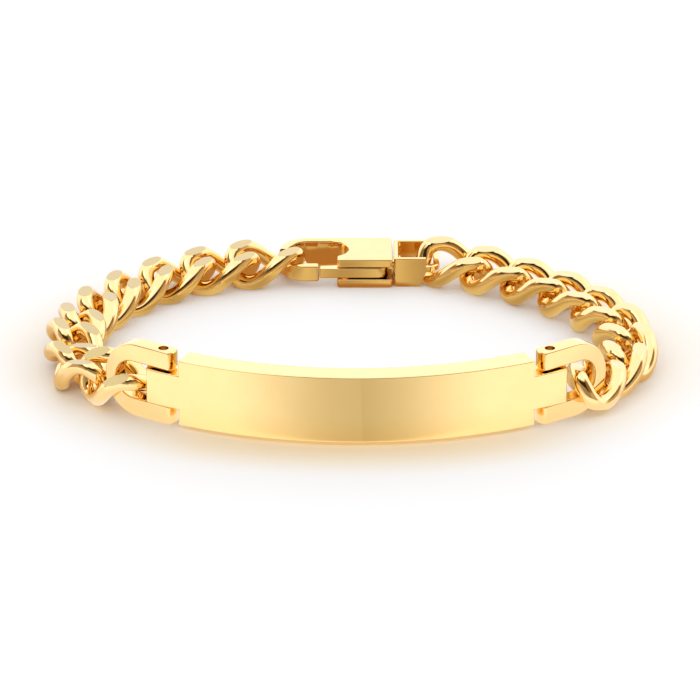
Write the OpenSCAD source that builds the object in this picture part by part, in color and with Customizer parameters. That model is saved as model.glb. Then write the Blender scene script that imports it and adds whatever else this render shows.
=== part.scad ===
// Id bracelet: a curved bare plate, two shackles and a twisted curb chain that closes with a hook clasp.
// Millimetres. The floor is z = 0, the plate faces -y and the clasp lies behind it.

/* [Plate] */
// height of the plate, standing on its edge
plate_height = 10; // [8.5:0.5:11]
// straight distance between the plate's two shoulders
plate_width = 50.8; // [48:0.4:53]
// thickness of the plate
plate_thickness = 3.6; // [2.8:0.2:4]
// radius of the plate's front face
plate_radius = 57.4; // [54:0.4:62]
// distance from a shoulder to the pin, along the plate
pin_reach = 3.3; // [3:0.1:4]
// how far the round end of a tongue lies past its pin
tongue_end = 2.5; // [2:0.1:2.6]

/* [Shackles] */
// overall height of a shackle
shackle_height = 11.2; // [10.8:0.1:12]
// distance from the pin to the outside of the bend
shackle_reach = 9.4; // [9.2:0.1:10]
// height of the opening between the two arms
shackle_opening = 5.6; // [5.2:0.1:6]
// depth of the bar, across the arms
shackle_depth = 2.5; // [2.2:0.1:2.8]
// thickness of the bend
bend_thickness = 1.9; // [1.6:0.1:2]
// radius of the dome at the end of an arm
arm_end = 2; // [1.6:0.1:2.4]
// diameter of the plain pins
pin_diameter = 1.3; // [1:0.1:1.5]

/* [Chain] */
// overall length of a link
link_length = 12.5; // [12.3:0.1:12.8]
// overall width of a link
link_width = 8.9; // [8.7:0.1:9.2]
// thickness of a link between its two flats
link_thickness = 5.1; // [4.9:0.1:5.4]
// diameter of the wire
wire_diameter = 2.4; // [2:0.1:2.5]
// turn of each end of a link about its length, in degrees
link_twist = 49; // [45:1:52]

/* [Clasp] */
// overall length of the clasp body
clasp_length = 17.2; // [16.6:0.2:18]
// overall width of the clasp body
clasp_width = 8.8; // [8.4:0.1:9.4]
// overall height of the clasp body
clasp_height = 4.7; // [4.5:0.1:5.2]
// thickness of the hook's rim, seen from above
rim = 1.3; // [1:0.1:1.5]
// length of the eye that the chain hangs in
eye_length = 9.2; // [8.8:0.1:9.6]
// height of the hook's nose
nose_height = 2.9; // [2.4:0.1:3.4]
// gap between the nose and the tip of the lever
nose_gap = 0.25; // [0.15:0.05:0.5]
// thickness of the lever
lever_thickness = 1.6; // [1.2:0.1:1.8]
// width of the lever's blade, seen from above
lever_blade = 1.3; // [1:0.1:1.6]
// radius of the lever about its pivot
lever_boss = 1.6; // [1.2:0.1:1.7]
// diameter of the lever's pivot pin
pivot_diameter = 1; // [0.8:0.1:1.2]

/* [Connector] */
// overall length of the connector, with its round end
connector_length = 7; // [6.6:0.1:7.6]
// length of the connector's two straight walls
connector_side = 4.9; // [4.4:0.1:5.2]
// overall width of the connector
connector_width = 7.6; // [7.2:0.1:8.2]
// thickness of the connector's strip
strip = 0.7; // [0.6:0.05:0.8]
// thickness of the connector's round end
end_strip = 1; // [0.8:0.05:1.2]
// height of the connector's round end, which a link passes over and under
end_height = 1; // [0.8:0.05:1.1]
// diameter of the stud that holds the connector
stud_diameter = 1.6; // [1.2:0.1:2]

/* [Clearances] */
// clearance round each pin in its bore
pin_clearance = 0.1; // [0.1:0.02:0.15]
// clearance between two pieces that lie side by side
side_clearance = 0.2; // [0.12:0.02:0.25]

/* [Hidden] */
$fn = 48;
gold = [0.93, 0.78, 0.42];

// the front of the plate, and the middle of the clasp's pivot
plate_front = [0.8, -32.8];
clasp_front_y = 23.9;

// the plate's own centre of curvature and its angles
plate_centre = [plate_front[0], plate_front[1] + plate_radius];
mid_radius = plate_radius - plate_thickness / 2;
shoulder_angle = asin(plate_width / 2 / plate_radius);
pin_angle = shoulder_angle + pin_reach / mid_radius * 180 / PI;
plate_lift = (shackle_height - plate_height) / 2;
tongue_height = shackle_opening - 2 * side_clearance;
mid_height = shackle_height / 2;
arm_height = (shackle_height - shackle_opening) / 2;
opening_end = shackle_reach - bend_thickness;
pin_left = plate_centre + mid_radius * [-sin(pin_angle), -cos(pin_angle)];
pin_right = plate_centre + mid_radius * [sin(pin_angle), -cos(pin_angle)];

// how each shackle points, in degrees from the +x axis
left_heading = 147;
right_heading = 35.5;

// the clasp: its middle line, its ends, its layers and its pivot
clasp_y = clasp_front_y + clasp_width / 2;
clasp_right = 6.3;
clasp_left = clasp_right - clasp_length;
eye_left = clasp_left + rim;
eye_right = eye_left + eye_length;
eye_radius = clasp_width / 2 - rim;
slot_height = lever_thickness + 2 * side_clearance;
plate_layer = (clasp_height - slot_height) / 2;
nose_end = -5;
pivot = [3.8, clasp_front_y + lever_boss + 0.3];
connector_left = clasp_right + side_clearance;
connector_right = connector_left + connector_length;
connector_height = clasp_height;
// the middle height of the end links, which the hook and the connector are lowered round
chain_z = 2.95;

// the chain's route, a list of chosen points for each half
left_route = [
  [-33.95, -20.6, 4.5],
  [-40.89, -10.68, 2.47],
  [-40.87, -4.15, 3.57],
  [-38.9, 7.88, 2.62],
  [-31.32, 18.79, 2.53],
  [-23.2, 24.0, 2.7]
];
right_route = [
  [37.19, -12.03, 2.0],
  [40.44, -9.83, 2.69],
  [40.37, 2.1, 2.68],
  [32.4, 14.87, 2.52],
  [20.6, 24.1, 2.7]
];

// where the end wires of each half lie: in the shackles, in the eye and in the connector
wire_radius = wire_diameter / 2;
end_reach = opening_end - side_clearance - wire_radius;
left_start = start_of(pin_left, left_heading, [1.3, -0.92, -1.12]);
right_start = start_of(pin_right, right_heading, [0.26, -2.39, -1.67]);
left_end = [eye_left + wire_radius + side_clearance, clasp_y - 0.1, chain_z];
right_end = [connector_right - end_strip - wire_radius - side_clearance, clasp_y - 0.3, chain_z];
left_path = smooth(concat([left_start], left_route, [left_end]));
right_path = smooth(concat([right_start], right_route, [right_end]));

// the start of a half: the bend of its shackle, and how far beside it the first link's line begins
function start_of(pin, heading, beside) =
  [pin[0] + end_reach * cos(heading), pin[1] + end_reach * sin(heading), mid_height] + beside;

// one point on a smooth curve through p1 and p2, with p0 before and p3 after
function on_curve(p0, p1, p2, p3, t) =
  (2 * p1 + (p2 - p0) * t + (2 * p0 - 5 * p1 + 4 * p2 - p3) * t * t
    + (3 * p1 - p0 - 3 * p2 + p3) * t * t * t) / 2;

// a smooth curve through all points, as a list of points
function smooth(p) =
  let (e = concat([2 * p[0] - p[1]], p, [2 * p[len(p) - 1] - p[len(p) - 2]]))
  concat([for (i = [1:len(e) - 3]) for (k = [0:7]) on_curve(e[i - 1], e[i], e[i + 1], e[i + 2], k / 8)],
    [p[len(p) - 1]]);

// the distance along a curve at each of its points
function distances(p) = [for (i = 0, s = 0; i < len(p); s = s + norm(p[min(i + 1, len(p) - 1)] - p[i]), i = i + 1) s];

// the point at a distance along a curve
function along(p, d, s) = [for (k = [0:2]) lookup(s, [for (i = [0:len(p) - 1]) [d[i], p[i][k]]])];

function unit(v) = v / norm(v);
function part_power(v, e) = sign(v) * pow(abs(v), e);

// the middle line of a link at the angle u: an oval whose two ends turn about its length
half_length = link_length / 2 - wire_radius;
half_width = link_width / 2 - wire_radius;
oval_power = 2.8;
function link_line(u) =
  let (x = half_length * part_power(cos(u), 2 / oval_power))
  let (w = half_width * part_power(sin(u), 2 / oval_power))
  let (t = -link_twist * sin(90 * x / half_length))
  [x, w * cos(t), w * sin(t)];

// the points of the wire's six-sided section at the angle u, held between the link's two flats
link_steps = 16;
wire_sides = 6;
function flatten(p) = [p[0], p[1], max(-link_thickness / 2, min(link_thickness / 2, p[2]))];
function section(u) =
  let (c = link_line(u))
  let (t = unit(link_line(u + 3) - link_line(u - 3)))
  let (n = unit(cross(t, c)))
  let (m = cross(n, t))
  [for (j = [0:wire_sides - 1]) flatten(c + wire_radius * (m * cos(360 * j / wire_sides) + n * sin(360 * j / wire_sides)))];

link_points = [for (i = [0:link_steps - 1]) for (q = section(360 * (i + 0.5) / link_steps)) q];
function at(i, j) = (i % link_steps) * wire_sides + j % wire_sides;
link_faces = [
  for (i = [0:link_steps - 1]) for (j = [0:wire_sides - 1]) for (k = [0, 1])
    k == 0 ? [at(i, j), at(i + 1, j), at(i, j + 1)] : [at(i, j + 1), at(i + 1, j), at(i + 1, j + 1)]
];

// how far each link of the two halves rolls about its length, from the shackle to the clasp
left_rolls = [-28.3, -1.6, 7.7, 12.5, 0, 0, 0, 0, 2, 4];
right_rolls = [7.7, 2.8, -1.8, -2.1, 0, 0, 0, -4, -8];

// link i along a path
module chain_link(path, rolls, i) {
  d = distances(path);
  pitch = (d[len(d) - 1] - 2 * half_length) / (len(rolls) - 1);
  a = along(path, d, i * pitch);
  b = along(path, d, i * pitch + 2 * half_length);
  x = unit(b - a);
  y0 = unit(cross([0, 0, 1], x));
  z0 = cross(x, y0);
  r = rolls[i];
  y = y0 * cos(r) + z0 * sin(r);
  z = z0 * cos(r) - y0 * sin(r);
  placed = [for (p = link_points) (a + b) / 2 + p[0] * x + p[1] * y + p[2] * z];
  // a link that would lie below the floor is lifted to it
  lift = max(0, -min([for (p = placed) p[2]]));
  color(gold)
    translate([0, 0, lift])
      polyhedron(placed, link_faces, convexity = 6);
}

module left_link(i) { chain_link(left_path, left_rolls, i - 1); }
module right_link(i) { chain_link(right_path, right_rolls, i - 1); }

// a sector of the plate's band, out to the angle a on both sides
module band(a) {
  intersection() {
    difference() {
      circle(r = plate_radius, $fn = 180);
      circle(r = plate_radius - plate_thickness, $fn = 180);
    }
    polygon([[0, 0], 90 * [-sin(a), -cos(a)], [0, -99], 90 * [sin(a), -cos(a)]]);
  }
}

// the tongues' outline from above, with a round end about each pin
module tongue_outline() {
  band(pin_angle);
  intersection() {
    band(pin_angle + 6);
    for (s = [-1, 1])
      translate(mid_radius * [s * sin(pin_angle), -cos(pin_angle)])
        circle(r = tongue_end);
  }
}

module pin_bores(height) {
  for (p = [pin_left, pin_right])
    translate([p[0], p[1], -1])
      cylinder(d = pin_diameter + 2 * pin_clearance, h = height + 2);
}

module id_plate() {
  color(gold)
    difference() {
      translate([plate_centre[0], plate_centre[1], 0])
        union() {
          translate([0, 0, plate_lift])
            linear_extrude(plate_height)
              band(shoulder_angle);
          translate([0, 0, mid_height - tongue_height / 2])
            linear_extrude(tongue_height)
              tongue_outline();
        }
      pin_bores(shackle_height);
    }
}

// the shackle's outline from the side: a U whose bend lies at +x
module u_outline() {
  bend = shackle_height / 2 - 0.15;
  difference() {
    union() {
      translate([-arm_end, -shackle_height / 2])
        square([shackle_reach + arm_end - bend, shackle_height]);
      translate([shackle_reach - bend - 0.1, bend - shackle_height / 2])
        square([bend + 0.1, shackle_height - 2 * bend]);
      for (s = [-1, 1])
        translate([shackle_reach - bend, s * (shackle_height / 2 - bend)])
          circle(r = bend);
    }
    translate([-arm_end - 1, -shackle_opening / 2])
      square([opening_end + arm_end + 1 - shackle_opening / 2, shackle_opening]);
    translate([opening_end - shackle_opening / 2, 0])
      circle(r = shackle_opening / 2);
  }
}

// a shackle turned about its pin, with domed arm ends
module shackle(pin, heading) {
  color(gold)
    translate([pin[0], pin[1], mid_height])
      rotate(heading)
        difference() {
          intersection() {
            rotate([90, 0, 0])
              linear_extrude(shackle_depth, center = true)
                u_outline();
            linear_extrude(shackle_height + 2, center = true)
              union() {
                circle(r = arm_end);
                translate([0, -shackle_depth])
                  square([shackle_reach + 1, 2 * shackle_depth]);
              }
          }
          cylinder(d = pin_diameter + 2 * pin_clearance, h = shackle_height + 2, center = true);
        }
}

module left_shackle() { shackle(pin_left, left_heading); }
module right_shackle() { shackle(pin_right, right_heading); }

// a plain pin, sunk a little below the arms
module shackle_pin(pin) {
  sink = 0.15;
  color(gold)
    translate([pin[0], pin[1], sink])
      cylinder(d = pin_diameter, h = shackle_height - 2 * sink);
}

module left_pin() { shackle_pin(pin_left); }
module right_pin() { shackle_pin(pin_right); }

// the clasp's outline from above, with its eye and the mouth in front of it
module clasp_outline() {
  corner = 0.8;
  difference() {
    hull() {
      for (s = [-1, 1])
        translate([clasp_right - corner, clasp_y + s * (clasp_width / 2 - corner)])
          circle(r = corner);
      translate([clasp_left + clasp_width / 2, clasp_y])
        circle(d = clasp_width);
    }
    translate([eye_left + eye_radius, clasp_y])
      circle(r = eye_radius);
    translate([eye_left + eye_radius, clasp_y - eye_radius])
      square([eye_length - 2 * eye_radius, 2 * eye_radius]);
    translate([eye_right - eye_radius, clasp_y])
      circle(r = eye_radius);
    translate([nose_end, clasp_front_y - 1])
      square([eye_right - eye_radius - nose_end + 1.4, clasp_y - clasp_front_y + 1]);
  }
}

// a block from the depth a to the depth b, with its outline given in x and z
module across(a, b, points) {
  translate([0, b, 0])
    rotate([90, 0, 0])
      linear_extrude(b - a)
        polygon(points);
}

// what the hook leaves free: its front runs under a link's front strand, its back over the rear one
module hook_room() {
  far = clasp_left - 1;
  low = (clasp_height - nose_height) / 2;
  top = low + nose_height;
  front = clasp_front_y - 1;
  middle = clasp_y - 0.3;
  across(front, middle, [
    [far, -1], [nose_end + 1.2, -1], [nose_end + 1.2, low], [far, low]
  ]);
  across(front, middle - 0.4, [
    [far, 9], [far, chain_z + 0.15], [eye_left + 1.2, chain_z + 0.15], [eye_left + 2.8, top],
    [nose_end + 1.2, top], [nose_end + 1.2, 9]
  ]);
  across(middle, clasp_y + clasp_width, [
    [far, -1], [eye_left + 4, -1], [eye_left + 3.4, 0], [eye_left + 0.7, chain_z + 0.1], [far, chain_z + 0.1]
  ]);
}

// the slot between the two side plates, which the lever swings in
module slot_outline() {
  room = lever_boss + 2 * side_clearance;
  translate([eye_right - 4, clasp_front_y - 1])
    square([pivot[0] - eye_right + 4, pivot[1] + room + 1.4 - clasp_front_y + 1]);
  translate([pivot[0] - 0.1, clasp_front_y - 1])
    square([clasp_right - pivot[0] + 1, pivot[1] + 0.3 - clasp_front_y + 1]);
  translate(pivot)
    circle(r = room);
}

stud_height = clasp_height / 2;
stud_y = clasp_y - 0.2;
stud_head = 0.3;

module clasp_body() {
  pin_top = clasp_height - 0.6;
  color(gold)
    difference() {
      union() {
        linear_extrude(clasp_height)
          clasp_outline();
        translate([clasp_right - 0.5, stud_y, stud_height])
          rotate([0, 90, 0])
            cylinder(d = stud_diameter, h = 0.5 + strip + 2 * side_clearance);
        translate([connector_left + strip + side_clearance / 2, stud_y, stud_height])
          rotate([0, 90, 0])
            cylinder(d = stud_diameter + 0.8, h = stud_head);
      }
      hook_room();
      translate([0, 0, plate_layer])
        linear_extrude(slot_height)
          slot_outline();
      translate([pivot[0], pivot[1], -1])
        cylinder(d = pivot_diameter + 2 * pin_clearance, h = pin_top + 1);
    }
}

module clasp_pivot() {
  color(gold)
    translate([pivot[0], pivot[1], 0.1])
      cylinder(d = pivot_diameter, h = clasp_height - 0.8);
}

// the lever: a blade along the front, a round boss about the pivot and a short rounded tail
module clasp_lever() {
  tip = nose_end + nose_gap;
  front = clasp_front_y + 0.1;
  color(gold)
    difference() {
      translate([0, 0, (clasp_height - lever_thickness) / 2])
        linear_extrude(lever_thickness)
          polygon(concat(
            [[tip, front], [tip, front + lever_blade]],
            [for (a = [110:-10:0]) pivot + lever_boss * [cos(a), sin(a)]],
            [[pivot[0] + 1.9, front + 1], [pivot[0] + 1.8, front + 0.5], [pivot[0] + 1.3, front]]
          ));
      translate([pivot[0], pivot[1], -1])
        cylinder(d = pivot_diameter + 2 * pin_clearance, h = clasp_height + 2);
    }
}

// the connector's ring from above: two straight walls and a round end at the chain, inset by the wall w
module connector_ring(w) {
  x0 = connector_left + (w > 0 ? strip : 0);
  bend = 2.2;
  hull() {
    translate([x0, stud_y - connector_width / 2 + (w > 0 ? strip : 0)])
      square([1, connector_width - (w > 0 ? 2 * strip : 0)]);
    translate([connector_left + connector_side - 0.1, stud_y - connector_width / 2 + (w > 0 ? strip : 0)])
      square([0.1, connector_width - (w > 0 ? 2 * strip : 0)]);
    for (s = [-1, 1])
      translate([connector_right - bend, stud_y + s * (connector_width / 2 - bend)])
        circle(r = bend - w);
  }
}

// the connector's height from the side: the walls' lower corners are cut up to the low round end
module connector_side_outline() {
  h = connector_height;
  low = chain_z - 0.15 - end_height / 2;
  polygon([[-connector_length, 0], [-0.9, 0], [0, low], [connector_length, low],
    [connector_length, low + end_height], [0, low + end_height], [0, h], [-connector_length, h]]);
}

// the connector: a flat strip bent to a ring, high at the clasp and low where the chain hangs on it
module clasp_connector() {
  far = connector_left + connector_side;
  color(gold)
    difference() {
      intersection() {
        linear_extrude(connector_height)
          connector_ring(0);
        translate([far, stud_y + connector_width, 0])
          rotate([90, 0, 0])
            linear_extrude(2 * connector_width)
              connector_side_outline();
      }
      translate([0, 0, -1])
        linear_extrude(connector_height + 2)
          connector_ring(end_strip);
      translate([connector_left - 1, stud_y, stud_height])
        rotate([0, 90, 0])
          cylinder(d = stud_diameter + 2 * pin_clearance, h = strip + 2);
    }
}

id_plate();
left_shackle();
right_shackle();
left_pin();
right_pin();
left_link(1);  // link_l1
left_link(2);  // link_l2
left_link(3);  // link_l3
left_link(4);  // link_l4
left_link(5);  // link_l5
left_link(6);  // link_l6
left_link(7);  // link_l7
left_link(8);  // link_l8
left_link(9);  // link_l9
left_link(10);  // link_l10
right_link(1);  // link_r1
right_link(2);  // link_r2
right_link(3);  // link_r3
right_link(4);  // link_r4
right_link(5);  // link_r5
right_link(6);  // link_r6
right_link(7);  // link_r7
right_link(8);  // link_r8
right_link(9);  // link_r9
clasp_body();
clasp_pivot();
clasp_lever();
clasp_connector();
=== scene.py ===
"""Id bracelet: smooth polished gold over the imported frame. Lengths are millimetres until a mesh is made."""
import math

import bmesh
import bpy
import numpy as np
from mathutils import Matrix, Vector


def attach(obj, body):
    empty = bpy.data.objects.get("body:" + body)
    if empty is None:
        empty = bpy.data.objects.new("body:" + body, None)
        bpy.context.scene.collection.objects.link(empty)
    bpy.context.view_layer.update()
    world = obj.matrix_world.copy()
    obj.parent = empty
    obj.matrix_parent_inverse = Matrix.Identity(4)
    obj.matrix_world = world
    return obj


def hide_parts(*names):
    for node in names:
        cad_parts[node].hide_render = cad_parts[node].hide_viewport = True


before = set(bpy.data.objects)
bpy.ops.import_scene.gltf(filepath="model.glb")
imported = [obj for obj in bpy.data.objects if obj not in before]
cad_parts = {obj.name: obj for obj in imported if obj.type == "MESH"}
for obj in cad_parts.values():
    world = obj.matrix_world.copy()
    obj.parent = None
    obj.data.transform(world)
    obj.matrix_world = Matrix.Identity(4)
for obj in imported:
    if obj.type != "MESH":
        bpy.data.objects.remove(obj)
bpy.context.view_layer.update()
MM = 0.001

# camera: at the photo's angle, 24 degrees above the floor
CAMERA_AT, CAMERA_AIM = Vector((-0.15, -685.75, 305.65)), Vector((-0.15, -0.59, 0.6))
camera = bpy.data.objects.new("camera", bpy.data.cameras.new("camera"))
bpy.context.scene.collection.objects.link(camera)
bpy.context.scene.camera = camera
camera.location = CAMERA_AT * MM
camera.rotation_euler = (CAMERA_AIM * MM - camera.location).to_track_quat("-Z", "Y").to_euler()
camera.data.sensor_width = 36
camera.data.lens = 261.7
camera.data.clip_start = 0.02
bpy.context.scene.view_settings.view_transform = "Standard"


# shaders
class Value:
    """A number on a node socket. An expression on it adds one Math node for each operator."""

    def __init__(self, tree, socket):
        self.tree, self.socket = tree, socket

    def op(self, operation, *others, swap=False):
        math_node = self.tree.nodes.new("ShaderNodeMath")
        math_node.operation = operation
        terms = [self, *others]
        if swap:
            terms.reverse()
        for place, term in zip(math_node.inputs, terms):
            if isinstance(term, Value):
                self.tree.links.new(term.socket, place)
            else:
                place.default_value = term
        return Value(self.tree, math_node.outputs[0])

    def __add__(self, other): return self.op("ADD", other)
    def __sub__(self, other): return self.op("SUBTRACT", other)
    def __mul__(self, other): return self.op("MULTIPLY", other)
    def __truediv__(self, other): return self.op("DIVIDE", other)
    def __gt__(self, other): return self.op("GREATER_THAN", other)
    def __lt__(self, other): return self.op("LESS_THAN", other)
    def __rsub__(self, other): return self.op("SUBTRACT", other, swap=True)
    __radd__, __rmul__ = __add__, __mul__

    def root(self): return self.op("SQRT")
    def size(self): return self.op("ABSOLUTE")
    def held(self): return self.op("MAXIMUM", 0.0).op("MINIMUM", 1.0)

    def ease(self, low, high):
        """0 below low and 1 above high, with a smooth step between."""
        t = ((self - low) / (high - low)).held()
        return t * t * (3.0 - 2.0 * t)


class Tree:
    """A node tree with one method that adds nodes, and short forms of the nodes used most."""

    def __init__(self, tree):
        self.tree = tree

    def node(self, kind, settings=None, sockets=None, out=0):
        made = self.tree.nodes.new("ShaderNode" + kind)
        for key, value in (settings or {}).items():
            setattr(made, key, value)
        for key, value in (sockets or {}).items():
            if isinstance(value, Value):
                self.tree.links.new(value.socket, made.inputs[key])
            else:
                made.inputs[key].default_value = value
        return Value(self.tree, made.outputs[out])

    def apart(self, point):
        """A point's three numbers."""
        return [self.node("SeparateXYZ", sockets={0: point}, out=k) for k in range(3)]

    def noise(self, point, scale, detail=2.0):
        return self.node("TexNoise", sockets={"Vector": point, "Scale": scale, "Detail": detail})

    def blend(self, factor, low, high):
        """A Mix of two colours, each of them fixed or another node's."""
        low, high = (colour if isinstance(colour, Value) else (*colour, 1) for colour in (low, high))
        return self.node("Mix", {"data_type": "RGBA"}, {0: factor, 6: low, 7: high}, out=2)


class Finish(Tree):
    """A material's tree. Fixed numbers go straight on the shader's sockets."""

    def __init__(self, name, **fixed):
        self.material = bpy.data.materials.new(name)
        self.material.use_nodes = True
        super().__init__(self.material.node_tree)
        self.shader = self.tree.nodes["Principled BSDF"]
        for socket, value in fixed.items():
            self.shader.inputs[socket.replace("_", " ")].default_value = value

    def place(self):
        """The piece's own coordinates, as a point and as three numbers."""
        point = self.node("TexCoord", out="Object")
        return point, self.apart(point)

    def feed(self, socket, value):
        self.tree.links.new(value.socket, self.shader.inputs[socket])

    def relief(self, height, strength, distance):
        bump = self.node("Bump", sockets={"Strength": strength, "Distance": distance, "Height": height})
        self.feed("Normal", bump)


GOLD = (0.94, 0.67, 0.27)
GOLD_DEEP = (0.90, 0.63, 0.245)
# The flats' base colours: painted shade on the left half, painted light on the right half.
FLAT_SHADED_LEFT, FLAT_LIT_RIGHT = (0.54, 0.412, 0.158), (0.88, 0.68, 0.29)


def polished(name, rough, light=GOLD, deep=GOLD_DEEP):
    """Mirror polish: the tone drifts over a few millimetres, the roughness over less, with faint marks."""
    gold = Finish(name, Metallic=1.0)
    point, _ = gold.place()
    drift = gold.noise(point, 260.0)
    fine = gold.noise(point, 1800.0, 3.0)
    gold.feed("Base Color", gold.blend(((drift - 0.35) * 1.6).held(), light, deep))
    gold.feed("Roughness", ((fine - 0.5) * 0.06 + (drift - 0.5) * 0.03 + rough).held())
    gold.relief(drift * 0.8 + fine * 0.05, 0.12, 0.00002)
    return gold.material


def satin(name):
    """Ground flats: a fine even matt with grinding lines, with painted light that makes them paler on the part's
    right half than on its left.
    """
    flat = Finish(name, Metallic=1.0)
    point, (x, _, _) = flat.place()
    stretched = {"Vector": point, "Scale": (1.0, 6.0, 1.0), "Rotation": (0, 0, 0.6)}
    lines = flat.noise(flat.node("Mapping", {"vector_type": "POINT"}, stretched), 1500.0, 3.0)
    # painted light: paler towards the right half, with the grinding lines mixed in
    lit_side_and_lines = (x.ease(-0.03, 0.03) * 0.8 + lines * 0.2).held()
    flat.feed("Base Color", flat.blend(lit_side_and_lines, FLAT_SHADED_LEFT, FLAT_LIT_RIGHT))
    flat.feed("Roughness", (lines - 0.5) * 0.2 + 0.3)
    flat.relief(lines, 0.25, 0.00001)
    return flat.material


WIRE = polished("link_gold", 0.09)
FLAT = satin("link_flats")
SHACKLE = polished("shackle_gold", 0.08)
CLASP = polished("clasp_gold", 0.08)
PLATE = polished("plate_gold", 0.06, (0.94, 0.69, 0.28), (0.93, 0.66, 0.26))
# The pins are painted dark brown: painted shade standing for the dark holes their sunk ends sit in.
PIN_PAINTED_SHADE = polished("pin_gold", 0.2, (0.30, 0.17, 0.06), (0.2, 0.1, 0.035))


# meshes
SHARP = 35  # degrees between two faces from which their edge is shaded as an edge
WELD = 2e-7  # metres


def put(name, points, faces, materials, face_slots=None, body="bracelet", slot=None, sharp=SHARP, stands_for=()):
    """Makes a piece from points in millimetres, welds points that meet, and turns the faces outwards."""
    mesh = bpy.data.meshes.new(name)
    mesh.from_pydata((np.asarray(points, float) * MM).tolist(), [], faces)
    if face_slots is not None:
        mesh.polygons.foreach_set("material_index", np.asarray(face_slots, np.int32))
    for material in materials:
        mesh.materials.append(material)
    shape = bmesh.new()
    shape.from_mesh(mesh)
    bmesh.ops.remove_doubles(shape, verts=shape.verts, dist=WELD)
    bmesh.ops.recalc_face_normals(shape, faces=shape.faces)
    shape.to_mesh(mesh)
    shape.free()
    mesh.shade_smooth()
    mesh.set_sharp_from_angle(angle=math.radians(sharp))
    piece = bpy.data.objects.new(name, mesh)
    bpy.context.scene.collection.objects.link(piece)
    if body:
        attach(piece, body)
    if stands_for:
        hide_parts(*stands_for)
    return piece


def even_normals(piece):
    """Large faces keep their own normal, so that a rounded rim doesn't shade them."""
    even = piece.modifiers.new("even_normals", "WEIGHTED_NORMAL")
    even.keep_sharp = True
    even.weight = 80


def cut(piece, *tools, join=False):
    """Takes closed tools out of a piece, or joins them to it, and leaves a plain mesh."""
    for tool in tools:
        step = piece.modifiers.new("cut", "BOOLEAN")
        step.operation = "UNION" if join else "DIFFERENCE"
        step.solver = "EXACT"
        step.object = tool
    bpy.context.view_layer.update()
    seen = piece.evaluated_get(bpy.context.evaluated_depsgraph_get())
    mesh = bpy.data.meshes.new_from_object(seen)
    old = piece.data
    piece.modifiers.clear()
    piece.data = mesh
    mesh.name = piece.name
    bpy.data.meshes.remove(old)
    mesh.set_sharp_from_angle(angle=math.radians(SHARP))
    for tool in tools:
        bpy.data.objects.remove(tool)


def stacked(rings, shelves=None):
    """Faces of closed outlines carried one on another: quads between neighbours and a face over each end.
    Where the outline steps in or out at one height, shelves names the spans of points that a flat shelf joins."""
    shelves = shelves or {}
    top, count = len(rings) - 1, len(rings[0])
    faces = [list(range(count))[::-1], [top * count + i for i in range(count)]]
    ring = np.arange(count)
    for k in range(top):
        a, b = k * count, (k + 1) * count
        if k in shelves:
            for first, last in shelves[k]:
                span = [i % count for i in range(first, last + 1)]
                faces.append([a + i for i in span] + [b + i for i in reversed(span)])
        else:
            after = (ring + 1) % count
            faces += np.stack([a + ring, a + after, b + after, b + ring], 1).tolist()
    return np.concatenate(rings), faces


def carried(rings, closed):
    """Faces of a closed profile carried along a path, which is itself closed or has a face over each end."""
    rows, cols = rings.shape[:2]
    i, j = np.meshgrid(np.arange(rows if closed else rows - 1), np.arange(cols), indexing="ij")
    n, m = (i + 1) % rows, (j + 1) % cols
    faces = np.stack([i * cols + j, n * cols + j, n * cols + m, i * cols + m], -1).reshape(-1, 4).tolist()
    if not closed:
        faces += [list(range(cols)), [(rows - 1) * cols + k for k in range(cols)][::-1]]
    return rings.reshape(-1, 3), faces


def drawn_in(outline, d):
    """A closed outline moved in by d: a point goes along its two edges' mean normal, further at a corner."""
    back, ahead = outline - np.roll(outline, 1, 0), np.roll(outline, -1, 0) - outline
    normals = [np.stack([-e[:, 1], e[:, 0]], 1) / np.linalg.norm(e, axis=1, keepdims=True) for e in (back, ahead)]
    mean = normals[0] + normals[1]
    mean /= np.linalg.norm(mean, axis=1, keepdims=True)
    return outline + mean * (d / np.maximum(0.4, (mean * normals[0]).sum(1)))[:, None]


def rim(edge, steps=4):
    """A quarter round: pairs of how far the outline is drawn in and how far its height is from the end."""
    a = np.linspace(0, math.pi / 2, steps + 1)
    return list(zip(edge * (1 - np.sin(a)), edge * (1 - np.cos(a))))


def levels(low, high, edge, between=()):
    """Heights and insets from one rounded end to the other."""
    up = [(d, low + h) for d, h in rim(edge)]
    down = [(d, high - h) for d, h in rim(edge)[::-1]]
    return up + [(0.0, z) for z in between] + down


def arc(centre, radius, start, end, steps):
    a = np.radians(np.linspace(start, end, steps))
    return np.stack([centre[0] + radius * np.cos(a), centre[1] + radius * np.sin(a)], 1)


def at_height(outline, z):
    return np.column_stack([outline, np.full(len(outline), z)])


def slab(outline, low, high, edge, between=()):
    """A flat piece: its outline from above carried up through its heights, with rounded rims."""
    return [at_height(drawn_in(outline, d), z) for d, z in levels(low, high, edge, between)]


def rod(name, centre, radius, low, high, chamfer=0.0, materials=(), body=None, **more):
    """A round pin: a circle carried up, smaller by the chamfer at both ends."""
    steps = [(0, low + chamfer), (0, high - chamfer)]
    if chamfer:
        steps = [(chamfer, low), *steps, (chamfer, high)]
    rings = [at_height(arc(centre, radius - d, 0, 352.5, 48), z) for d, z in steps]
    points, faces = stacked(rings)
    return put(name, points, faces, materials, body=body, **more)


def strip_rings(inner, outer, low, high, corner, steps=4):
    """A rounded rectangle at each pair of inner and outer points, from low to high: rings along a path."""
    across = outer - inner
    width = np.linalg.norm(across, axis=1)
    across = across / width[:, None]
    r = np.minimum(corner, np.minimum(width, high - low) * 0.49)
    rings = []
    for w, h, start in ((0, 0, 180), (1, 0, 270), (1, 1, 0), (0, 1, 90)):
        for a in np.radians(np.linspace(start, start + 90, steps + 1)):
            reach = (width - r if w else r) + r * math.cos(a)
            height = (high - r if h else low + r) + r * math.sin(a)
            rings.append(np.column_stack([inner + across * reach[:, None], height]))
    return np.stack(rings, 1)


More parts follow.
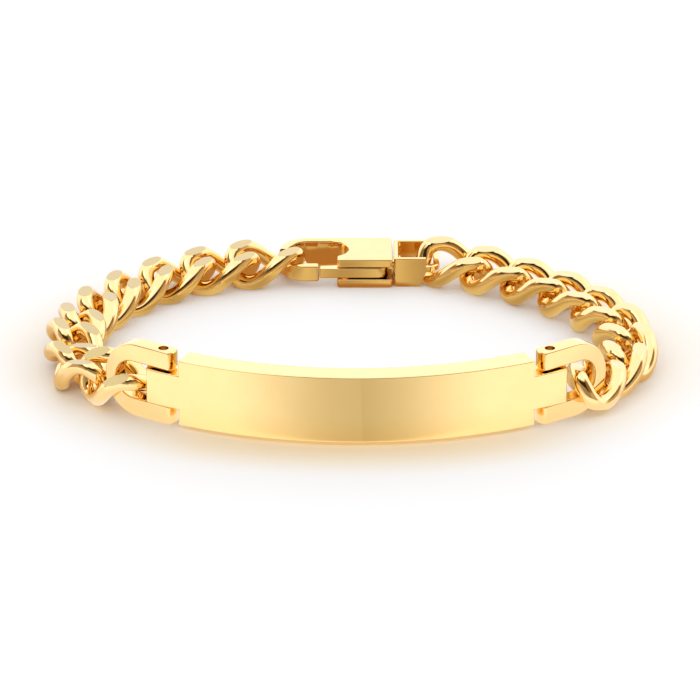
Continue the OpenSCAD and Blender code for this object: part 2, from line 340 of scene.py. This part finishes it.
# plate: its middle line is an arc of radius MID about CURVE, seen from above
CURVE = np.array([0.8, 24.6])
MID, HALF = 55.6, 1.8  # HALF is half of its thickness
SHOULDER = MID * math.asin(25.4 / 57.4)  # from its middle to its square end, along the middle line
PIN_AT = SHOULDER + 3.3
TONGUE_R = 2.5
PLATE_LOW, TONGUE_LOW, TONGUE_HIGH, PLATE_HIGH = 0.6, 3.0, 8.2, 10.6
CORNER, PLATE_RIM = 0.2, 0.16
ARC_POINTS, END_POINTS = 65, 23
BORE_R, PIN_R = 0.75, 0.65


def bent(s, q):
    """A place s along the plate's middle line and q in front of it."""
    a = s / MID
    return np.stack([CURVE[0] + (MID + q) * np.sin(a), CURVE[1] - (MID + q) * np.cos(a)], -1)


def shoulder_end(d):
    """From the front arc's end round the plate's square end to the back arc's. The end bulges by a hair, because
    points in one straight line would leave flat triangles in the shelf that they edge."""
    s, q = SHOULDER - d, HALF - d
    front = arc((s - CORNER, q - CORNER), CORNER, 90, 0, 4)
    back = arc((s - CORNER, CORNER - q), CORNER, 0, -90, 4)
    t = np.linspace(0, 1, END_POINTS - 6)[1:-1, None]
    bulge = np.column_stack([0.02 * t * (1 - t), np.zeros(len(t))])
    return np.concatenate([front, front[-1] * (1 - t) + back[0] * t + bulge, back])


def tongue(d):
    """From the front arc's end along the tongue, round its domed end and back."""
    q, r = HALF - d, TONGUE_R - d
    half_angle = math.degrees(math.asin(q / r))
    s = SHOULDER + np.array([-0.1, 0.6, 2.4])
    dome = arc((PIN_AT, 0), r, half_angle, -half_angle, END_POINTS - 2 * len(s))
    side = np.column_stack([s, np.full(len(s), q)])
    return np.concatenate([side, dome, side[::-1] * [1, -1]])


def plate_ring(z, body_in, tongue_in=None):
    """One level of the plate: front arc, right end, back arc, left end."""
    run = np.linspace(-1, 1, ARC_POINTS) * (SHOULDER - CORNER - body_in)
    end = shoulder_end(body_in) if tongue_in is None else tongue(tongue_in)
    face = np.full(ARC_POINTS, HALF - body_in)
    s = np.concatenate([run, end[:, 0], run[::-1], -end[::-1, 0]])
    q = np.concatenate([face, end[:, 1], -face, end[::-1, 1]])
    return at_height(bent(s, q), z)


plate_rings = [plate_ring(PLATE_LOW + h, d) for d, h in rim(PLATE_RIM)] + [plate_ring(TONGUE_LOW, 0)]
first_shelf = len(plate_rings) - 1
plate_rings += [plate_ring(z, 0, d) for d, z in levels(TONGUE_LOW, TONGUE_HIGH, PLATE_RIM)]
second_shelf = len(plate_rings) - 1
plate_rings += [plate_ring(TONGUE_HIGH, 0)] + [plate_ring(PLATE_HIGH - h, d) for d, h in rim(PLATE_RIM)[::-1]]
ends = (ARC_POINTS - 1, 2 * ARC_POINTS + END_POINTS - 1)
spans = [(first, first + END_POINTS + 1) for first in ends]
points, faces = stacked(plate_rings, {first_shelf: spans, second_shelf: spans})
plate = put("id_plate_smooth", points, faces, [PLATE], slot="plate_gold", stands_for=["id_plate"])
pin_places = [bent(np.array(s), np.array(0.0)) for s in (-PIN_AT, PIN_AT)]
cut(plate, *[rod("bore", pin, BORE_R, 2, 9) for pin in pin_places])
even_normals(plate)


# shackles: seen from the side, x runs from the pin towards the bend and z from the middle of the height
SHACKLE_Z, HALF_DEPTH, SHACKLE_RIM = 5.6, 1.25, 0.24
ARM_END, END_R = -2.0, 0.3
OUTSIDE, INSIDE = 5.6, 2.8  # the arms' outer and inner faces, above and below the middle
BEND_X, BEND_Z, BEND_R = 3.95, 0.15, 5.45
INNER_BEND_X = 4.7
DOME_R = 2.0  # from above, of the arms' ends
HEADINGS = (147, 35.5)  # where the left and the right shackle point, in degrees from +x


def shackle(name, pin, heading, stands_for):
    """A U seen from the side, carried across its depth with rounded rims. The arms' ends are domed from above.
    Quads between the outer and the inner line, which have as many points each, close its two flat sides."""
    end, outside, inside = ARM_END + END_R, OUTSIDE - END_R, INSIDE + END_R
    outer = [arc((end, -outside), END_R, 180, 270, 5), arc((BEND_X, -BEND_Z), BEND_R, -90, 0, 25),
             arc((BEND_X, BEND_Z), BEND_R, 0, 90, 25), arc((end, outside), END_R, 90, 180, 5)]
    inner = [arc((end, inside), END_R, 180, 270, 5), arc((INNER_BEND_X, 0), INSIDE, 90, -90, 50),
             arc((end, -inside), END_R, 90, 180, 5)]
    c, s = math.cos(math.radians(heading)), math.sin(math.radians(heading))
    rings = []
    between = (-0.7, -0.3, 0.3, 0.7)
    for ring in slab(np.concatenate(outer + inner), -HALF_DEPTH, HALF_DEPTH, SHACKLE_RIM, between):
        x, z, depth = ring.T
        dome = np.sqrt(DOME_R ** 2 - depth ** 2) / DOME_R
        x = np.where(x < 0, x * dome, x)
        rings.append(np.column_stack([pin[0] + x * c - depth * s, pin[1] + x * s + depth * c, z + SHACKLE_Z]))
    points, faces = stacked(rings)
    count = len(rings[0])
    near = np.arange(count // 2 - 1)
    flat = np.stack([near, near + 1, count - 2 - near, count - 1 - near], 1)
    faces = flat[:, ::-1].tolist() + (flat + len(points) - count).tolist() + faces[2:]
    piece = put(name, points, faces, [SHACKLE], slot="shackle_gold", stands_for=[stands_for])
    cut(piece, rod("bore", pin, BORE_R, -1, 12))
    even_normals(piece)


for side, pin, heading in zip(("left", "right"), pin_places, HEADINGS):
    shackle(side + "_shackle_smooth", pin, heading, side + "_shackle")
for side, pin in zip(("left", "right"), pin_places):
    rod(side + "_pin_smooth", pin, PIN_R, 0.75, 10.45, 0.12, body="bracelet", materials=[PIN_PAINTED_SHADE], slot="pin_gold",
        stands_for=[side + "_pin"])

# chain: half of a link's length and width to the middle of its wire, and how its oval is formed
LONG, WIDE, POWER, TWIST = 5.05, 3.25, 2.8, 49.0
WIRE_R, FLAT_Z = 1.2, 2.55
STEPS, ARC, CHORD = 144, 12, 3  # points round a link, and on each round and inside each flat side of the wire
LINK_SHARP = 24


def signed_power(v, e):
    return np.sign(v) * np.abs(v) ** e


def link_line(u):
    """The middle of the wire: an oval |x/a|^p + |w/b|^p = 1, whose width turns about its length by
    -twist sin(90 x/a)."""
    x = LONG * signed_power(np.cos(u), 2 / POWER)
    w = WIDE * signed_power(np.sin(u), 2 / POWER)
    t = -np.radians(TWIST) * np.sin(np.pi / 2 * x / LONG)
    return np.stack([x, w * np.cos(t), w * np.sin(t)], -1)


def link_surface():
    """A round wire on the link's line, cut flat at both faces: the part of each round section beyond a face becomes
    its chord, so that the flats' borders lie on the grid."""
    fine = link_line(np.linspace(0, 2 * np.pi, 4001))
    far = np.concatenate([[0], np.cumsum(np.linalg.norm(np.diff(fine, axis=0), axis=1))])
    s = np.linspace(0, far[-1], STEPS, endpoint=False)
    line = np.stack([np.interp(s, far, fine[:, k]) for k in range(3)], -1)
    along = np.roll(line, -1, 0) - np.roll(line, 1, 0)
    along /= np.linalg.norm(along, axis=1, keepdims=True)
    up = np.array([0, 0, 1.0]) - along[:, 2:] * along
    lean = np.linalg.norm(up, axis=1)
    up /= lean[:, None]
    side = np.cross(along, up)
    top = np.arccos(np.clip((FLAT_Z - line[:, 2]) / (WIRE_R * lean), -1, 1))
    low = np.arccos(np.clip((FLAT_Z + line[:, 2]) / (WIRE_R * lean), -1, 1))
    t = np.linspace(0, 1, ARC + 1)
    right = top[:, None] * (1 - t) + (np.pi - low)[:, None] * t
    left = (np.pi + low)[:, None] * (1 - t) + (2 * np.pi - top)[:, None] * t

    def on_round(v):
        return line[:, None] + WIRE_R * (up[:, None] * np.cos(v)[..., None] + side[:, None] * np.sin(v)[..., None])

    a, b = on_round(right), on_round(left)
    c = np.linspace(0, 1, CHORD + 2)[1:-1, None]
    under = a[:, -1:] * (1 - c) + b[:, :1] * c
    over = b[:, -1:] * (1 - c) + a[:, :1] * c
    rings = np.concatenate([a, under, b, over], 1)
    cols = rings.shape[1]
    kind = np.zeros(cols, int)
    kind[ARC:ARC + CHORD + 1] = 1
    kind[2 * ARC + CHORD + 1:] = 1
    points, faces = carried(rings, True)
    return points, faces, np.tile(kind, STEPS)


def smooth_route(p):
    """A smooth curve through all points, 8 to a span, as a cubic of each four neighbours."""
    e = np.vstack([2 * p[0] - p[1], p, 2 * p[-1] - p[-2]])
    p0, p1, p2, p3 = (v[:, None] for v in (e[:-3], e[1:-2], e[2:-1], e[3:]))
    t = (np.arange(8) / 8)[None, :, None]
    spans = (2 * p1 + (p2 - p0) * t + (2 * p0 - 5 * p1 + 4 * p2 - p3) * t * t
             + (3 * p1 - p0 - 3 * p2 + p3) * t ** 3) / 2
    return np.vstack([spans.reshape(-1, 3), p[-1]])


def chain(letter, rolls, route):
    """Links at even places along a route, each turned to it, rolled about its length and kept on the floor."""
    route = smooth_route(np.array(route, float))
    far = np.concatenate([[0], np.cumsum(np.linalg.norm(np.diff(route, axis=0), axis=1))])
    pitch = (far[-1] - 2 * LONG) / (len(rolls) - 1)
    local, faces, kinds = link_surface()
    for i, turn in enumerate(rolls):
        ends = (i * pitch, i * pitch + 2 * LONG)
        a, b = (np.array([np.interp(d, far, route[:, k]) for k in range(3)]) for d in ends)
        x = (b - a) / np.linalg.norm(b - a)
        y0 = np.cross([0, 0, 1], x)
        y0 /= np.linalg.norm(y0)
        z0 = np.cross(x, y0)
        roll = math.radians(turn)
        y, z = y0 * math.cos(roll) + z0 * math.sin(roll), z0 * math.cos(roll) - y0 * math.sin(roll)
        placed = (a + b) / 2 + local @ np.stack([x, y, z])
        placed[:, 2] += max(0, -placed[:, 2].min())
        node = f"link_{letter}{i + 1}"
        link = put(node + "_smooth", placed, faces, [WIRE, FLAT], kinds, slot="link_gold", sharp=LINK_SHARP,
                   stands_for=[node])
        even_normals(link)


def start_of(pin, heading, beside):
    """Where the first link's line begins: beside a place inside the bend of a shackle."""
    a, far = math.radians(heading), 6.1
    return [pin[0] + far * math.cos(a) + beside[0], pin[1] + far * math.sin(a) + beside[1], SHACKLE_Z + beside[2]]


chain("l", (-28.3, -1.6, 7.7, 12.5, 0, 0, 0, 0, 2, 4), [
    start_of(pin_places[0], HEADINGS[0], (1.3, -0.92, -1.12)), [-33.95, -20.6, 4.5], [-40.89, -10.68, 2.47],
    [-40.87, -4.15, 3.57], [-38.9, 7.88, 2.62], [-31.32, 18.79, 2.53], [-23.2, 24.0, 2.7], [-8.2, 28.2, 2.95]])
chain("r", (7.7, 2.8, -1.8, -2.1, 0, 0, 0, -4, -8), [
    start_of(pin_places[1], HEADINGS[1], (0.26, -2.39, -1.67)), [37.19, -12.03, 2.0], [40.44, -9.83, 2.69],
    [40.37, 2.1, 2.68], [32.4, 14.87, 2.52], [20.6, 24.1, 2.7], [11.1, 28.0, 2.95]])

# clasp: its block lies from the eye to RIGHT and from FRONT to BACK, with a slot between two side plates
EYE, EYE_R = np.array([-3.5, 28.3]), 3.1
FRONT, BACK, RIGHT, TOP = 23.9, 32.7, 6.3, 4.7
SLOT_LOW, SLOT_HIGH = 1.35, 3.35
PIVOT, PIVOT_BORE_R = (3.8, 25.8), 0.6
HOOK_X, HOOK_OUT = -6.5, 4.4  # the hook turns about HOOK_X, out to HOOK_OUT from its middle
STUD_Y, STUD_Z = 28.1, 2.35


def block_side(slotted):
    """The block from above, and how many points both outlines share. The rest is the side plates' front or the
    wall behind the slot."""
    shared = np.concatenate([[[RIGHT, 26.1]], arc((RIGHT - 0.5, BACK - 0.5), 0.5, 0, 90, 5), [[EYE[0], BACK]],
                             arc(EYE, EYE_R, 90, 17, 19)])
    if slotted:
        wall = 29.2
        near = np.concatenate([np.linspace([-0.5, wall], [1.0, wall], 20)[:-1], [[1.0, wall], [PIVOT[0], wall]],
                               arc(PIVOT, 2.0, 90, 9, 14), [[6.0, 26.1]]])
    else:
        near = np.concatenate([arc(EYE, EYE_R, 16, -63, 17), [[-2.1, 25.2]],
                               arc((-1.6, FRONT + 0.5), 0.5, 180, 270, 5), [[0, FRONT], [2, FRONT], [4, FRONT]],
                               arc((RIGHT - 0.45, FRONT + 0.45), 0.45, 270, 360, 5),
                               [[RIGHT, y] for y in (24.9, 25.3, 25.7, 25.9, 26.0)]])
    return np.concatenate([shared, near]), len(shared)


def block_rings():
    """The block's levels: lower plate, the wall behind the slot, upper plate, with rounded rims."""
    plate_out, shared = block_side(False)
    wall_out, _ = block_side(True)
    if len(plate_out) != len(wall_out):
        raise ValueError(f"the clasp's outlines differ: {len(plate_out)} and {len(wall_out)} points")

    def lip(d):
        ring = drawn_in(plate_out, d)
        ring[:shared] = plate_out[:shared]
        return ring

    edge, small = 0.32, 0.14
    rings = [at_height(drawn_in(plate_out, d), h) for d, h in rim(edge)]
    rings += [at_height(lip(d), SLOT_LOW - h) for d, h in rim(small)[::-1]]
    first = len(rings) - 1
    rings += [at_height(wall_out, SLOT_LOW), at_height(wall_out, SLOT_HIGH)]
    second = len(rings) - 1
    rings += [at_height(lip(d), SLOT_HIGH + h) for d, h in rim(small)]
    rings += [at_height(drawn_in(plate_out, d), TOP - h) for d, h in rim(edge)[::-1]]
    span = [(shared - 1, len(plate_out))]
    return rings, {first: span, second: span}


def hook_piece():
    """The hook: a rounded bar carried round the eye from the block to the nose. It is slim where the chain hangs:
    its underside rises on the rear half and its top comes down on the front half, by the angle round the bend."""
    bend = np.linspace(90, 270, 49)
    back = np.linspace(-2.9, HOOK_X, 9)[:-1]
    front = np.linspace(HOOK_X, -5.1, 6)[1:]
    turn = np.concatenate([np.full(len(back), 90.0), bend, np.full(len(front), 270.0)])
    unit = np.column_stack([np.cos(np.radians(turn)), np.sin(np.radians(turn))])
    centre = np.concatenate([back, np.full(len(bend), HOOK_X), front])
    base = np.column_stack([centre, np.full(len(centre), EYE[1])])
    slim = np.where(np.arange(len(centre)) < 5, 0.015, 0.0)  # the end inside the block stays off its faces
    inner, outer = base + unit * (EYE_R + slim)[:, None], base + unit * (HOOK_OUT - slim)[:, None]
    nose = np.interp(turn, [177, 185], [0, 1])
    low = np.interp(outer[:, 0], [-8.9, -6.2], [3.07, 0.0]) * (1 - nose) + nose
    high = np.interp(turn, [90, 181, 189, 224, 248], [TOP, 4.6, 3.1, 3.1, 3.65])
    rings = strip_rings(inner, outer, low + slim, high - slim, 0.38)
    last, middle = rings[-1], rings[-1].mean(0)
    smaller = ((0.96, 0.1), (0.86, 0.2), (0.7, 0.26))
    tips = [middle + (last - middle) * [1, k, k] + [further, 0, 0] for k, further in smaller]
    return carried(np.concatenate([rings, np.stack(tips)]), False)


def sideways(name, steps):
    """A round piece along x on the stud's line: a circle carried through its radii and places."""
    points, faces = stacked([at_height(arc((0, 0), r, 0, 345, 24), place) for r, place in steps])
    across, up, along = points.T
    return put(name, np.column_stack([along, across + STUD_Y, up + STUD_Z]), faces, [CLASP], body=None)


rings, shelves = block_rings()
clasp = put("clasp_body_smooth", *stacked(rings, shelves), [CLASP], slot="clasp_gold", stands_for=["clasp_body"])
hook = put("hook", *hook_piece(), [CLASP], body=None)
stud = sideways("stud", ((0.8, 5.7), (0.8, 7.3), (1.2, 7.3), (1.2, 7.5), (1.1, 7.6)))
cut(clasp, hook, stud, join=True)
cut(clasp, rod("bore", PIVOT, PIVOT_BORE_R, -1, 4.1))
even_normals(clasp)

# lever: a straight bar from its eye round the pivot to a rounded tip in front of the hook
TIP_X, TIP_LOW, TIP_HIGH, TIP_R = -4.5, 24.25, 25.05, 0.25
lever_outline = np.concatenate([
    arc((TIP_X, TIP_LOW), TIP_R, 180, 270, 5), arc(PIVOT, 1.8, -90, 100, 36), [[2.6, 26.6], [1.4, 25.7]],
    arc((TIP_X, TIP_HIGH), TIP_R, 90, 180, 5)])
lever = put("clasp_lever_smooth", *stacked(slab(lever_outline, 1.55, 3.15, 0.2)), [CLASP], body="lever",
            slot="clasp_gold", stands_for=["clasp_lever"])
cut(lever, rod("bore", PIVOT, PIVOT_BORE_R, 0, 5))
even_normals(lever)


def connector_piece():
    """The connector: a flat strip carried round a closed ring. Its two walls are high and its round end is low."""
    step = 11.36  # past this place along x the strip is low

    def line(x, y, corner, end_r):
        """The strip's outer or inner line: one half, and its mirror image on the stud's other side."""
        front = np.concatenate([
            arc((x + corner, y + corner), corner, 180, 270, 6),
            np.column_stack([[*np.linspace(8.2, 11.25, 9), 11.33, 11.4], np.full(11, y)]),
            arc((11.3, 26.5), end_r, -78, 0, 14)])
        return np.concatenate([front, front[::-1] * [1, -1] + [0, 2 * STUD_Y]])

    outer, inner = line(6.5, 24.3, 0.45, 2.2), line(7.2, 25.0, 0.12, 1.2)
    low = np.interp(outer[:, 0], [10.5, 11.4], [0.0, 2.3])
    high = np.where(outer[:, 0] > step, 3.3, TOP)
    return carried(strip_rings(inner, outer, low, high, 0.26), True)


connector = put("clasp_connector_smooth", *connector_piece(), [CLASP], slot="clasp_gold",
                stands_for=["clasp_connector"])
cut(connector, sideways("bore", ((0.9, 6.0), (0.9, 7.25))))
even_normals(connector)

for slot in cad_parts["clasp_pivot"].material_slots:
    slot.material = CLASP


# floor and light
FLOOR_HALF = 3.0  # metres


def plane(name, z, material):
    """A flat square about the origin."""
    flat = bpy.data.meshes.new(name)
    corners = [(x * FLOOR_HALF, y * FLOOR_HALF, z) for x, y in ((-1, -1), (1, -1), (1, 1), (-1, 1))]
    flat.from_pydata(corners, [], [(0, 1, 2, 3)])
    made = bpy.data.objects.new(name, flat)
    bpy.context.scene.collection.objects.link(made)
    flat.materials.append(material)
    return made


def oval(x, y, half_x, half_y):
    """How far out a place is from an oval's middle: 1 on the oval."""
    return ((x / half_x) * (x / half_x) + (y / half_y) * (y / half_y)).root()


# The floor that is seen: white paper with painted light, a warmer tint round the bracelet and most of all in front
# of the plate, standing for light thrown off the gold.
PLATE_FOOT = -33.0
paper = Finish("white_paper", Roughness=0.6)
_, (x, y, _) = paper.place()
x, y = x * 1000.0 - 0.5, y * 1000.0
ring = oval(x, y, 44.0, 31.0)
# painted light: the warmer tint of light thrown off the gold, round the loop and in front of the plate
painted_glow = ring.ease(0.8, 1.0) * (1.0 - ring.ease(1.02, 1.42))
near = (1.0 - (y - PLATE_FOOT).ease(-4.0, 12.0)) * (1.0 - (x * 0.03).size().ease(0.6, 1.1))
painted_warmth = (painted_glow * (0.34 + near * 0.66)).held()
paper.feed("Base Color", paper.blend(painted_warmth, (0.93, 0.93, 0.93), (0.93, 0.76, 0.49)))
floor = plane("floor", 0.0, paper.material)
floor.visible_glossy = False

# The card that only reflections show, with painted reflections and painted shade: dark in front of the plate's
# middle, brown painted shade inside the loop, near white outside it, and dark orange painted shade under the chain
# and the clasp.
PALE, PALE_SIDE = (0.86, 0.86, 0.98), (0.74, 0.72, 0.82)
# Painted shade: the brown inside the loop and the dark orange under the chain and the clasp.
BROWN_SHADE, ORANGE_SHADE = (0.50, 0.40, 0.26), (0.30, 0.125, 0.02)
# The card glows a little, by its emission, as well as being lit.
card = Finish("reflected_card", Roughness=0.8, Emission_Strength=0.6)
_, (x, y, _) = card.place()
x, y = x * 1000.0, y * 1000.0
front = 1.0 - (y - PLATE_FOOT).ease(-2.0, 2.0)
fan = (x - 1.8) / ((y - PLATE_FOOT).size() + 26.0)
left_tone = (fan < 0.0) * (1.0 - (fan * -1.0).ease(0.0, 0.92)) * 0.86
right_tone = (fan > 0.0) * (1.0 - fan.ease(-0.12, 0.86)) * 0.97
open_floor = card.blend((front * (left_tone + right_tone)).held(), PALE, (0.40, 0.365, 0.32))
ring = oval(x, y, 41.0, 28.0)
outside = card.blend(y.ease(-31.0, -25.0), PALE, PALE_SIDE)
behind_plate = y.ease(-21.0, -14.0)
clear = ring.ease(1.12, 1.5).op("MAXIMUM", 1.0 - behind_plate)
wave = card.blend(((x + 7.5) * 0.483).op("COSINE") * 0.5 + 0.5, (0.35, 0.265, 0.155), (0.52, 0.44, 0.29))
inside = card.blend(1.0 - ring.ease(0.86, 1.0), card.blend(clear, BROWN_SHADE, outside), wave)
# painted shade under the clasp and under the chain, where they sit on the floor
clasp_shade = (1.0 - oval(x - 2.0, y - 26.5, 13.0, 4.6).ease(0.8, 1.05)) * 1.1
chain_shade = (1.0 - (ring - 1.02).size().ease(0.03, 0.12)) * behind_plate
at_connector = x.ease(8.0, 10.0) * (1.0 - x.ease(16.0, 20.0))
under = chain_shade.op("MAXIMUM", clasp_shade) * (1.0 - at_connector * 0.45)
shade = card.blend((under * 0.85).held(), card.blend(front, inside, open_floor), ORANGE_SHADE)
card.feed("Base Color", shade)
card.feed("Emission Color", shade)
mirror_card = plane("mirror_card", -0.00002, card.material)
mirror_card.visible_camera = mirror_card.visible_diffuse = mirror_card.visible_shadow = False

# The room: even white light, which reflections show with a dark band low in front, darkest in its middle.
sky = bpy.data.worlds.new("studio")
sky.use_nodes = True
bpy.context.scene.world = sky
background = sky.node_tree.nodes["Background"]
room = Tree(sky.node_tree)
side, depth, height = room.apart(room.node("TexCoord", out="Generated"))
mirrored = room.node("LightPath", out="Is Glossy Ray")
overhead = height.ease(0.68, 0.79)
behind = depth.ease(-0.1, 0.15)
dark = (1.0 - overhead) * (1.0 - behind) * (0.74 + height.ease(0.36, 0.46) * 0.26)
centre = 1.0 - side.size().ease(0.4, 0.75)
seen = (1.0 - dark * (0.78 + centre * 0.2)).op("MAXIMUM", 0.02)
strength = seen * 1.4 * mirrored + (1.0 - mirrored) * 1.02
tint = room.blend((dark * mirrored).held(), (1, 1, 1), (1, 0.62, 0.32))
cool = room.blend(mirrored * (1.0 - dark), tint, (1, 1.02, 1.25))
sky.node_tree.links.new(strength.socket, background.inputs["Strength"])
sky.node_tree.links.new(cool.socket, background.inputs["Color"])


def softbox(name, place, width, height, power):
    """A rectangular light that faces the bracelet."""
    lamp = bpy.data.lights.new(name, "AREA")
    lamp.shape, lamp.size, lamp.size_y, lamp.energy = "RECTANGLE", width, height, power
    holder = bpy.data.objects.new(name, lamp)
    bpy.context.scene.collection.objects.link(holder)
    holder.location = place
    holder.rotation_euler = (-Vector(place)).to_track_quat("-Z", "Y").to_euler()


softbox("key", (-0.45, -0.35, 0.75), 0.5, 0.35, 0.6)
softbox("fill", (0.6, 0.1, 0.6), 0.4, 0.3, 0.4)
